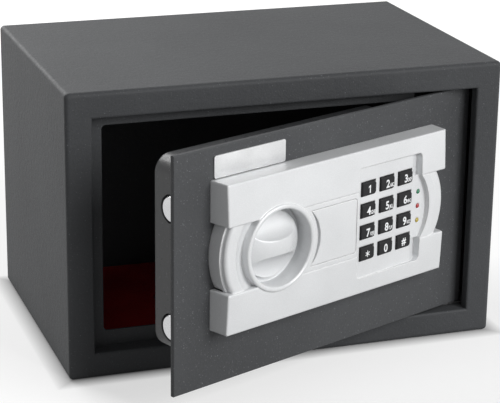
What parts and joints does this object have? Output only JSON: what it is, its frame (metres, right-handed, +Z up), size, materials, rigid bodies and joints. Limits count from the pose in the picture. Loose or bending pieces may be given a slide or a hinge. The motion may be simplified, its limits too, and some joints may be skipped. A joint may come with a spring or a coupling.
{
  "type": "electronic furniture safe",
  "caption": "Small steel cabinet with a hinged door, keypad, turning knob with sliding bolts, emergency lock and battery supply.",
  "frame": {"origin": "centre of the cabinet's underside, in the middle of its width and depth", "axes": "+X to the right seen from the front, +Y to the back, +Z up; the door faces -Y"},
  "size_m": [0.31, 0.2905, 0.2],
  "materials": {
    "body_paint": "fine-textured dark grey powder coat",
    "door_paint": "fine-textured dark grey powder coat",
    "casing_paint": "smooth dark grey paint",
    "fascia": "satin silver-grey moulding",
    "knob": "satin silver-grey moulding",
    "key": null,
    "lamp_green": "translucent lens",
    "lamp_red": "translucent lens",
    "lamp_yellow": "translucent lens",
    "label": "bare satin plate",
    "mat": "short red felt",
    "bolt_steel": "bright plated steel",
    "plain_steel": "zinc-plated",
    "hinge_steel": "plain steel",
    "brass": "plain",
    "board": "green lacquer",
    "coil": "lacquered copper wire",
    "battery": "printed sleeve, bare",
    "black_plastic": "moulded",
    "button": "moulded"
  },
  "bodies": {
    "cabinet": {"body_shell": "body_paint", "back_panel": "body_paint", "door_stop_frame": "body_paint", "upper_hinge_bracket": "hinge_steel", "lower_hinge_bracket": "hinge_steel", "floor_mat": "mat"},
    "door": {"door_plate": "door_paint", "hinge_channel": "door_paint", "hinge_pins": "hinge_steel", "hinge_washers": "brass", "fascia": "fascia", "fascia_screws": "plain_steel", "label_plate": "label", "keypad_board": "board", "led_green": "lamp_green", "led_red": "lamp_red", "led_yellow": "lamp_yellow", "override_lock": "bolt_steel", "override_nut": "plain_steel", "lock_casing": "casing_paint", "casing_screws": "plain_steel", "bolt_guide": "plain_steel", "guide_studs": "plain_steel", "spindle_bridge": "plain_steel", "solenoid_frame": "plain_steel", "solenoid_coil": "coil", "battery_tray": "black_plastic", "batteries": "battery", "program_switch": "black_plastic"},
    "knob": {"knob": "knob", "knob_spindle": "plain_steel", "bolt_pinion": "plain_steel", "spindle_clip": "plain_steel"},
    "bolts": {"bolt_carriage": "plain_steel", "locking_bolts": "bolt_steel"},
    "plunger": {"solenoid_plunger": "bolt_steel"},
    "override_barrel": {"override_barrel": "brass"},
    "override_cover": {"override_cover": "fascia"},
    "battery_cover": {"battery_cover": "black_plastic"},
    "program_button": {"program_button": "button"},
    "key_1": {"key_1": "key"},
    "key_2": {"key_2": "key"},
    "key_3": {"key_3": "key"},
    "key_4": {"key_4": "key"},
    "key_5": {"key_5": "key"},
    "key_6": {"key_6": "key"},
    "key_7": {"key_7": "key"},
    "key_8": {"key_8": "key"},
    "key_9": {"key_9": "key"},
    "key_star": {"key_star": "key"},
    "key_0": {"key_0": "key"},
    "key_hash": {"key_hash": "key"}
  },
  "joints": [
    {"name": "door_hinge", "type": "hinge", "parent": "cabinet", "child": "door", "pos_m": [0.12, -0.074, 0.1], "axis": [0, 0, 1], "range_deg": [-22.5, 62.5]},
    {"name": "knob_turn", "type": "hinge", "parent": "door", "child": "knob", "pos_m": [-0.03886, -0.15874, 0.1085], "axis": [-0.3827, 0.9239, 0], "range_deg": [0, 89.7]},
    {"name": "bolt_slide", "type": "slide", "parent": "door", "child": "bolts", "axis": [-0.9239, -0.3827, 0], "range_m": [0, 0.018]},
    {"name": "plunger_lift", "type": "slide", "parent": "door", "child": "plunger", "axis": [0, 0, 1], "range_m": [0, 0.005], "stiffness_N_per_m": 200, "springref_m": -0.005},
    {"name": "override_turn", "type": "hinge", "parent": "door", "child": "override_barrel", "pos_m": [0.00613, -0.14011, 0.1085], "axis": [-0.3827, 0.9239, 0], "range_deg": [0, 90]},
    {"name": "override_cover_pull", "type": "slide", "parent": "door", "child": "override_cover", "axis": [0.3827, -0.9239, 0], "range_m": [0, 0.015]},
    {"name": "battery_cover_pull", "type": "slide", "parent": "door", "child": "battery_cover", "axis": [-0.3827, 0.9239, 0], "range_m": [0, 0.02]},
    {"name": "program_press", "type": "slide", "parent": "door", "child": "program_button", "axis": [0.3827, -0.9239, 0], "range_m": [0, 0.002], "stiffness_N_per_m": 600},
    {"name": "key_1_press", "type": "slide", "parent": "door", "child": "key_1", "axis": [-0.3827, 0.9239, 0], "range_m": [0, 0.0015], "stiffness_N_per_m": 1500},
    {"name": "key_2_press", "type": "slide", "parent": "door", "child": "key_2", "axis": [-0.3827, 0.9239, 0], "range_m": [0, 0.0015], "stiffness_N_per_m": 1500},
    {"name": "key_3_press", "type": "slide", "parent": "door", "child": "key_3", "axis": [-0.3827, 0.9239, 0], "range_m": [0, 0.0015], "stiffness_N_per_m": 1500},
    {"name": "key_4_press", "type": "slide", "parent": "door", "child": "key_4", "axis": [-0.3827, 0.9239, 0], "range_m": [0, 0.0015], "stiffness_N_per_m": 1500},
    {"name": "key_5_press", "type": "slide", "parent": "door", "child": "key_5", "axis": [-0.3827, 0.9239, 0], "range_m": [0, 0.0015], "stiffness_N_per_m": 1500},
    {"name": "key_6_press", "type": "slide", "parent": "door", "child": "key_6", "axis": [-0.3827, 0.9239, 0], "range_m": [0, 0.0015], "stiffness_N_per_m": 1500},
    {"name": "key_7_press", "type": "slide", "parent": "door", "child": "key_7", "axis": [-0.3827, 0.9239, 0], "range_m": [0, 0.0015], "stiffness_N_per_m": 1500},
    {"name": "key_8_press", "type": "slide", "parent": "door", "child": "key_8", "axis": [-0.3827, 0.9239, 0], "range_m": [0, 0.0015], "stiffness_N_per_m": 1500},
    {"name": "key_9_press", "type": "slide", "parent": "door", "child": "key_9", "axis": [-0.3827, 0.9239, 0], "range_m": [0, 0.0015], "stiffness_N_per_m": 1500},
    {"name": "key_star_press", "type": "slide", "parent": "door", "child": "key_star", "axis": [-0.3827, 0.9239, 0], "range_m": [0, 0.0015], "stiffness_N_per_m": 1500},
    {"name": "key_0_press", "type": "slide", "parent": "door", "child": "key_0", "axis": [-0.3827, 0.9239, 0], "range_m": [0, 0.0015], "stiffness_N_per_m": 1500},
    {"name": "key_hash_press", "type": "slide", "parent": "door", "child": "key_hash", "axis": [-0.3827, 0.9239, 0], "range_m": [0, 0.0015], "stiffness_N_per_m": 1500}
  ],
  "couplings": [
    {"joint": "knob_turn", "follows": "bolt_slide", "rad_per_m": 86.957}
  ]
}
